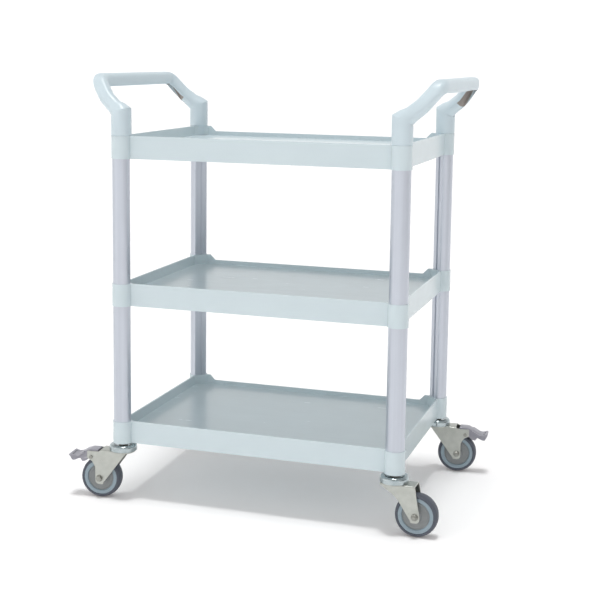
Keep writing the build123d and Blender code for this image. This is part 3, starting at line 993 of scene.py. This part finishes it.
    def rings(self) -> list[list[tuple[Vector, bool]]]:
        """Every ring from the front spigot to the back one.

        Returns:
            The rings' vertices in order.
        """
        half = self.half_route()
        length = half[-1][2]
        front = [self.ring_places(place, heading, run, length) for place, heading, run in half]
        mitre = (half[0][1] + Vector((0, 0, 1))).normalized()
        low = self.base_z - self.spigot_length
        stems = [
            self.stem_places(low, self.spigot, None),
            self.stem_places(self.base_z, self.spigot, None),
            self.stem_places(self.base_z, self.stem[0] - self.seam, None),
            self.stem_places(self.base_z + self.seam, self.stem[0], None),
            self.stem_places(self.bend_z, self.stem[0], mitre),
        ]
        near = stems + front
        flip = Vector((1, -1, 1))
        far = [[(spot * flip, inside) for spot, inside in ring] for ring in reversed(near[:-1])]
        return near + far

    def build(self) -> None:
        """Build the handle and its spigots."""
        bm = bmesh.new()
        ring = bmesh.ops.create_circle(bm, segments=self.segments, radius=1.0)["verts"]
        ring.sort(key=lambda v: math.atan2(v.co.y, v.co.x) % FULL_TURN)
        hollow = set()
        for index, spots in enumerate(self.rings()):
            if index:
                edges = list({e for v in ring for e in v.link_edges if e.other_vert(v) in ring})
                grown = bmesh.ops.extrude_edge_only(bm, edges=edges)["geom"]
                fresh = [item for item in grown if isinstance(item, bmesh.types.BMVert)]
                ring = self.follow(ring, fresh)
            for vert, (spot, inside) in zip(ring, spots):
                vert.co = spot
                if inside:
                    hollow.add(vert)
        bmesh.ops.holes_fill(bm, edges=[e for e in bm.edges if e.is_boundary], sides=0)
        # Faces wholly in the hollow take the second finish, a painted shade for the hollow's dark inside.
        for face in bm.faces:
            face.material_index = int(all(vert in hollow for vert in face.verts))
        stocks = (Stock.HANDLE, Stock.HOLLOW_PAINTED_SHADE)
        Piece(f"{self.node}_moulding", "trolley", "moulded_plastic", stocks, (self.node,), 0.5).add(bm)

    @staticmethod
    def follow(ring: list, fresh: list) -> list:
        """Order new ring vertices as the ring that they grew from.

        Args:
            ring: the earlier ring in order.
            fresh: the extruded vertices in any order.

        Returns:
            The new vertices in the same order.
        """
        new = set(fresh)
        return [next(e.other_vert(v) for e in v.link_edges if e.other_vert(v) in new) for v in ring]


# --------------------------------------------------------------------------- castors


@dataclass
class Castor:
    """Swivel castor: fixed cup, pressed fork, wheel, axle hardware and, on some, a brake pedal."""

    place: str
    braked: bool
    half_width: float = 21.0
    sheet: float = 3.0
    fold_radius: float = 5.0
    plate_top: float = 121.0
    eyelet_braked: tuple[float, float] = (50.0, 96.0)
    eyelet_plain: tuple[float, float] = (26.0, 105.0)
    ring_inner: float = 32.6
    hex_width: float = 13.0
    washer: float = 1.2
    head_top: float = 6.2
    nut_top: float = 6.4
    lip_top: float = 7.2
    pedal_half: float = 17.2
    pedal_sheet: float = 2.5
    pedal_fold: float = 2.0
    pad_half: float = 20.8
    shoe_half: float = 12.5
    pad_ridges: int = 5
    ridge_first: float = 112.5
    ridge_pitch: float = 3.4
    ridge_width: float = 1.4
    ridge_half: float = 17.5

    def __post_init__(self) -> None:
        """Find the castor's axes in the frame's joints."""
        joints = {joint["name"]: joint for joint in frame["joints"]}
        swivel = Vector(joints[f"swivel_{self.place}"]["pos_m"])
        axle = Vector(joints[f"spin_{self.place}"]["pos_m"])
        along = Vector((axle.x - swivel.x, axle.y - swivel.y, 0)).normalized()
        up = Vector((0, 0, 1))
        self.fork_axes = axes_matrix(Vector((swivel.x, swivel.y, 0)), along, up)
        self.axle_axes = axes_matrix(axle, up, along.cross(up))
        self.level_axes = Matrix.Translation(Vector((swivel.x, swivel.y, 0)))

    def cup(self) -> None:
        """Fixed cup of the swivel bearing, with its pressed step and recessed top."""
        bm = bmesh.new()
        lathe(
            bm,
            [
                (30.5, 121.8), (33.1, 121.8), (33.5, 122.3), (33.5, 130.4), (33.2, 132.3), (32.3, 134.2),
                (30.9, 135.7), (29.2, 136.7), (27.3, 137.0), (21.6, 137.0), (20.6, 136.6), (19.4, 134.9),
                (18.6, 134.5), (6.1, 134.5), (6.1, 130.8), (30.5, 130.8),
            ],
            self.level_axes,
            72,
        )
        Piece(
            f"swivel_cup_{self.place}", "trolley", "bearing_cup", (Stock.CUP,),
            (f"castor_head_{self.place}",), 0.0,
        ).add(bm)

    def outline(self) -> list[tuple[float, float, float]]:
        """Side outline of the fork's legs.

        Returns:
            Trail and height of each corner, and how far its rounding cuts back.
        """
        if self.braked:
            return [
                (-14, 121, 0), (52, 121, 0), (56, 117, 1.5), (86, 117, 3), (86, 99, 3), (73, 92, 2),
                (65, 78, 2), (65, 35.5, 9), (44.2, 35.5, 3.6), (44.2, 39.6, 1.2), (-14, 117.5, 0),
            ]
        return [
            (-29, 121, 0), (53, 121, 0), (65.8, 50, 3), (65, 35.5, 9), (44, 35.5, 3.6), (43.8, 40.5, 1.2),
            (9, 93, 12), (-29, 117.5, 0),
        ]

    @staticmethod
    def slab(bm: bmesh.types.BMesh, corners: list[tuple[float, float, float]], half: float) -> None:
        """Side outline swept across the castor's middle plane.

        Args:
            bm: mesh that receives it.
            corners: trail and height of each corner, and how far its rounding cuts back.
            half: how far it reaches to each side in millimetres.
        """
        verts = sweep_face(bm, rounded_face(bm, corners), Vector((0, 2 * half * MM, 0)))
        bmesh.ops.translate(bm, verts=verts, vec=(0, -half * MM, 0))

    def fork(self) -> None:
        """Pressed steel fork: legs and top folded from one sheet, the bearing plate and a pressed eyelet on
        each leg.
        """
        bm = bmesh.new()
        self.slab(bm, self.outline(), self.half_width)
        bmesh.ops.recalc_face_normals(bm, faces=bm.faces[:])
        spare = [f for f in bm.faces if abs(f.normal.y) < 0.5 and not self.is_top(f)]
        bmesh.ops.delete(bm, geom=spare, context="FACES")
        folds = [
            e for e in bm.edges
            if len(e.link_faces) == 2 and abs((e.verts[0].co - e.verts[1].co).normalized().x) > 0.9
        ]
        offset = self.fold_radius * MM
        bmesh.ops.bevel(
            bm, geom=folds, affect="EDGES", offset=offset, segments=5, profile=0.5, material=-1
        )
        bmesh.ops.solidify(bm, geom=bm.faces[:], thickness=self.sheet * MM)
        lathe(
            bm,
            [(6.2, 117.9), (29.4, 117.9), (30.0, 118.5), (30.0, 120.5), (29.4, 121.0), (29.0, 124.0),
             (28.5, 124.4), (6.2, 124.4)],
            Matrix.Identity(4),
            64,
        )
        for sign in (-1, 1):
            self.eyelet(bm, self.eyelet_braked if self.braked else self.eyelet_plain, sign)
        bmesh.ops.transform(bm, matrix=self.fork_axes, verts=bm.verts[:])
        Piece(
            f"fork_{self.place}", f"swivel_{self.place}", "zinc_steel", (Stock.FORK,),
            (f"castor_fork_{self.place}",), 0.5,
        ).add(bm)

    def is_top(self, face: bmesh.types.BMFace) -> bool:
        """Whether a face is the fork's flat top."""
        return face.normal.z > 0.9 and face.calc_center_median().z > (self.plate_top - 1) * MM

    def eyelet(self, bm: bmesh.types.BMesh, spot: tuple[float, float], sign: int) -> None:
        """Small pressed eyelet on a leg.

        Args:
            bm: mesh that receives it.
            spot: trail and height of its centre in millimetres.
            sign: which leg.
        """
        centre = Vector((spot[0], sign * self.half_width, spot[1])) * MM
        place = axes_matrix(centre, Vector((1, 0, 0)), Vector((0, sign, 0)))
        lathe(
            bm,
            [(0.0, -0.4), (1.6, -0.4), (2.0, 0.25), (2.9, 0.45), (3.4, 0.0), (3.4, -1.0), (0.0, -1.0)],
            place,
            24,
        )

    def wheel(self) -> None:
        """Tyre with shouldered tread, and the wheel body with its pale rim ring and recessed disc."""
        bm = bmesh.new()
        half = [
            (41.85, 0.0), (41.85, 13.2), (42.6, 14.4), (44.6, 15.0), (45.8, 14.9), (46.1, 14.3),
            (46.9, 14.2), (47.4, 14.0), (48.1, 13.0), (48.5, 11.4), (48.2, 11.0), (48.2, 10.2),
            (48.9, 9.8), (49.6, 6.6), (49.92, 3.2), (50.0, 0.0),
        ]
        profile = half + [(r, -w) for r, w in reversed(half[1:-1])]
        lathe(bm, profile, self.axle_axes, 96)
        Piece(
            f"tread_{self.place}", f"wheel_{self.place}", "tyre_rubber", (Stock.TYRE,),
            (f"tyre_{self.place}",), 0.0,
        ).add(bm)
        bm = bmesh.new()
        side = [
            (7.1, 17.0), (11.6, 17.0), (12.6, 16.4), (13.2, 14.6), (14.2, 11.6), (15.4, 10.6), (26.0, 9.8),
            (27.2, 10.4), (28.4, 10.4), (29.6, 9.6), (31.2, 9.6), (32.4, 10.4), (33.0, 12.4),
            (33.8, 13.2), (34.8, 13.5), (41.2, 13.5), (41.8, 13.1),
        ]
        profile = side + [(r, -w) for r, w in reversed(side)]
        lathe(bm, profile, self.axle_axes, 96)
        ring_r = self.ring_inner * MM
        centre = self.axle_axes.translation
        axis = self.axle_axes.to_3x3() @ Vector((0, 0, 1))
        for face in bm.faces:
            offset = face.calc_center_median() - centre
            radial = (offset - axis * offset.dot(axis)).length
            face.material_index = 0 if radial > ring_r else 1
        Piece(
            f"wheel_body_{self.place}", f"wheel_{self.place}", "wheel_plastic", (Stock.RIM, Stock.DISC),
            (f"wheel_core_{self.place}",), 0.0,
        ).add(bm)

    def axle(self) -> None:
        """Axle bolt with a washer under its head, and the flanged lock nut at its other end."""
        outer = self.half_width
        seat = outer + self.washer
        bm = bmesh.new()
        lathe(bm, [(0.0, 30.2), (3.4, 30.2), (4.0, 29.5), (4.0, -outer), (0.0, -outer)], self.axle_axes, 32)
        lathe(
            bm,
            [(0.0, -outer), (8.1, -outer), (8.5, -outer - 0.4), (8.2, -seat), (0.0, -seat)],
            self.axle_axes,
            40,
        )
        turned = self.axle_axes @ Matrix.Rotation(math.pi, 4, "X")
        hexagon(bm, self.hex_width, seat, outer + self.head_top, turned)
        Piece(
            f"axle_bolt_{self.place}_turned", f"swivel_{self.place}", "fastener_steel", (Stock.FASTENER,),
            (f"axle_bolt_{self.place}",), 0.3,
        ).add(bm)
        bm = bmesh.new()
        lathe(
            bm,
            [(4.05, outer), (8.1, outer), (8.5, outer + 0.4), (8.2, seat), (4.05, seat)],
            self.axle_axes,
            40,
        )
        hexagon(bm, self.hex_width, seat, outer + self.nut_top, self.axle_axes)
        low, high = outer + self.nut_top - 0.1, outer + self.lip_top
        lathe(bm, [(4.05, low), (5.9, low), (5.5, high), (4.05, high)], self.axle_axes, 32)
        Piece(
            f"axle_nut_{self.place}_turned", f"swivel_{self.place}", "fastener_steel", (Stock.FASTENER,),
            (f"axle_nut_{self.place}",), 0.3,
        ).add(bm)

    def pedal(self) -> None:
        """Brake pedal: pressed channel, toe pad with ridges and a shoe over the tyre."""
        bm = bmesh.new()
        outline = [
            (60, 113, 1), (60, 119.5, 2.5), (82, 119.5, 4), (98, 112.5, 2), (111, 104.5, 3),
            (121, 102.8, 3), (132, 106.3, 1.2), (134.4, 103.5, 1.2), (127, 89.5, 2.5), (121, 89.5, 2.5),
            (108, 95.5, 3), (84, 95.5, 3), (76, 97.5, 3), (70, 100.5, 3),
        ]
        self.slab(bm, outline, self.pedal_half)
        bmesh.ops.recalc_face_normals(bm, faces=bm.faces[:])
        below = [f for f in bm.faces if abs(f.normal.y) < 0.5 and f.normal.z < 0.05]
        bmesh.ops.delete(bm, geom=below, context="FACES")
        folds = [e for e in bm.edges if len(e.link_faces) == 2 and e.calc_face_angle(0.0) > 1.2]
        offset = self.pedal_fold * MM
        bmesh.ops.bevel(
            bm, geom=folds, affect="EDGES", offset=offset, segments=3, profile=0.5, material=-1
        )
        bmesh.ops.solidify(bm, geom=bm.faces[:], thickness=self.pedal_sheet * MM)
        pad = [
            (94, 114.1, 0.5), (98, 112.4, 1), (111, 104.4, 3), (121, 102.7, 3), (131.6, 106.3, 1.2),
            (134.2, 103.5, 1), (131, 100, 1), (121, 99.8, 2), (109, 101.5, 2), (94, 111.2, 0.5),
        ]
        self.slab(bm, pad, self.pad_half)
        shoe = [(88, 92.5, 1), (95, 88, 1), (102, 86.5, 1), (106, 92, 1), (106, 106, 0), (88, 114, 0)]
        self.slab(bm, shoe, self.shoe_half)
        for ridge in range(self.pad_ridges):
            u = self.ridge_first + ridge * self.ridge_pitch
            # The ridges follow the pad, which dips and then curls up past a trail of 118 mm.
            level = 103.9 - 0.16 * (u - self.ridge_first) + 0.018 * max(0.0, u - 118) ** 2
            low = (u, -self.ridge_half, level - 1.2)
            high = (u + self.ridge_width, self.ridge_half, level + 0.6)
            block(bm, low, high)
        bmesh.ops.transform(bm, matrix=self.fork_axes, verts=bm.verts[:])
        Piece(
            f"pedal_{self.place}_pressing", f"pedal_{self.place}", "pedal_paint", (Stock.PEDAL,),
            (f"brake_pedal_{self.place}",), 0.4,
        ).add(bm)

    def build(self) -> None:
        """Build every visible piece of the castor."""
        self.cup()
        self.fork()
        self.wheel()
        self.axle()
        if self.braked:
            self.pedal()


# --------------------------------------------------------------------------- carried-over CAD nodes


@dataclass
class Hardware:
    """Dresses the CAD nodes that keep their own shape."""

    stocks: dict = field(
        default_factory=lambda: {
            "castor_stem": Stock.FASTENER,
            "castor_plug": Stock.INSERT,
            "castor_balls": Stock.BALL,
            "wheel_bush": Stock.BUSH,
            "brake_pin": Stock.FASTENER,
            "tie_rod": Stock.FASTENER,
        }
    )

    def dress(self) -> None:
        """Give each shown CAD node its finish."""
        for name, thing in sorted(frame["nodes"].items()):
            stock = next((s for word, s in self.stocks.items() if name.startswith(word)), None)
            if stock is None:
                continue
            thing.data.materials.clear()
            thing.data.materials.append(PAINT.get(stock))
            LOG.info("%s: dressed as %s", name, stock.value.name)


# --------------------------------------------------------------------------- studio


@dataclass
class Studio:
    """Plain pale floor, soft light and the camera."""

    centre: tuple[float, float, float] = (0.0, 0.0, 0.5)
    camera_place: tuple[float, float, float] = (0.970, -2.9425, 1.0851)
    camera_yaw: float = 17.729
    camera_pitch: float = 7.533
    camera_roll: float = 0.722
    lens_mm: float = 75.44
    shift_up: float = -0.1333
    sun_power: float = 1.7
    sun_angle: float = 13.0
    sun_tilt: float = 2.0
    horizon: float = 1.16
    zenith: float = 0.42
    dim_side: float = 0.3
    floor_glow: float = 0.08
    key_place: tuple[float, float, float] = (-1.8, -3.0, 2.2)
    key_size: float = 3.2
    key_power: float = 9.0

    def floor(self) -> None:
        """Wide floor that is nearly white and glows slightly, so that it meets the horizon unseen."""
        bm = bmesh.new()
        bmesh.ops.create_grid(bm, x_segments=1, y_segments=1, size=30.0)
        mesh = bpy.data.meshes.new("studio_floor")
        bm.to_mesh(mesh)
        bm.free()
        thing = bpy.data.objects.new("studio_floor", mesh)
        bpy.context.scene.collection.objects.link(thing)
        material = bpy.data.materials.new("painted_studio_floor")
        material.use_nodes = True
        shader = material.node_tree.nodes["Principled BSDF"]
        shader.inputs["Base Color"].default_value = srgb("#F6F6F6")
        shader.inputs["Emission Color"].default_value = srgb("#FFEFEC")
        shader.inputs["Emission Strength"].default_value = self.floor_glow
        shader.inputs["Roughness"].default_value = 0.9
        shader.inputs["Specular IOR Level"].default_value = 0.1
        mesh.materials.append(material)

    def key(self) -> None:
        """Square soft light from the front left that points at the trolley."""
        data = bpy.data.lights.new("key", "AREA")
        data.shape = "SQUARE"
        data.size = self.key_size
        data.energy = self.key_power
        lamp = bpy.data.objects.new("key", data)
        lamp.location = self.key_place
        aim = Vector(self.centre) - Vector(self.key_place)
        lamp.rotation_euler = aim.to_track_quat("-Z", "Y").to_euler()
        bpy.context.scene.collection.objects.link(lamp)

    def sun(self) -> None:
        """Broad light from above, which lays a soft shadow under the trolley."""
        data = bpy.data.lights.new("overhead", "SUN")
        data.energy = self.sun_power
        data.angle = math.radians(self.sun_angle)
        lamp = bpy.data.objects.new("overhead", data)
        lamp.rotation_euler = (math.radians(self.sun_tilt), 0, 0)
        bpy.context.scene.collection.objects.link(lamp)

    def world(self) -> None:
        """Surroundings that are white at the horizon, and dimmer overhead and to the right."""
        world = bpy.data.worlds.new("studio")
        bpy.context.scene.world = world
        world.use_nodes = True
        tree = world.node_tree
        place = tree.nodes.new("ShaderNodeTexCoord")
        split = add_node(tree, "ShaderNodeSeparateXYZ", {}, Vector=place.outputs["Generated"])
        fade = add_node(
            tree,
            "ShaderNodeMapRange",
            {("From Min",): 0.12, ("From Max",): 0.8, ("To Min",): self.horizon, ("To Max",): self.zenith},
            Value=split.outputs["Z"],
        )
        dim = add_node(
            tree,
            "ShaderNodeMapRange",
            {("From Min",): 0.7, ("From Max",): 0.97, ("To Min",): 1.0, ("To Max",): self.dim_side},
            Value=split.outputs["X"],
        )
        both = add_node(
            tree,
            "ShaderNodeMath",
            {"operation": "MULTIPLY"},
            in_0=fade.outputs["Result"],
            in_1=dim.outputs["Result"],
        )
        background = tree.nodes["Background"]
        background.inputs["Color"].default_value = srgb("#FFFFFF")
        tree.links.new(both.outputs["Value"], background.inputs["Strength"])
        bpy.context.scene.view_settings.view_transform = "Standard"

    def camera(self) -> None:
        """Camera at eye level, a little to the right of the trolley's long side."""
        data = bpy.data.cameras.new("camera")
        data.lens = self.lens_mm
        data.sensor_width = 36.0
        data.shift_y = self.shift_up
        data.clip_end = 200.0
        thing = bpy.data.objects.new("camera", data)
        turn = (
            Matrix.Rotation(math.radians(self.camera_yaw), 4, "Z")
            @ Matrix.Rotation(math.radians(90 - self.camera_pitch), 4, "X")
            @ Matrix.Rotation(math.radians(self.camera_roll), 4, "Z")
        )
        thing.matrix_world = Matrix.Translation(self.camera_place) @ turn
        bpy.context.scene.collection.objects.link(thing)
        bpy.context.scene.camera = thing

    def build(self) -> None:
        """Set the whole studio up."""
        self.floor()
        self.world()
        self.sun()
        self.key()
        self.camera()


def main() -> None:
    """Build the trolley's pieces in order and report each one."""
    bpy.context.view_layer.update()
    post = frame["joints"][0]["pos_m"]
    post_x, post_y = abs(post[0]) / MM, abs(post[1]) / MM
    for node in ("bottom_tray", "middle_tray", "top_tray"):
        Tray(node, post_x, post_y).build()
    for word in POST_WORDS:
        for level in ("lower", "upper"):
            Post(f"{level}_post_{word}", post_x, post_y).build()
    Handle("left_handle", -1, post_x, post_y).build()
    Handle("right_handle", 1, post_x, post_y).build()
    for word in POST_WORDS:
        Castor(word, f"brake_pedal_{word}" in frame["nodes"]).build()
    Hardware().dress()
    Studio().build()


if __name__ == "__main__":
    main()
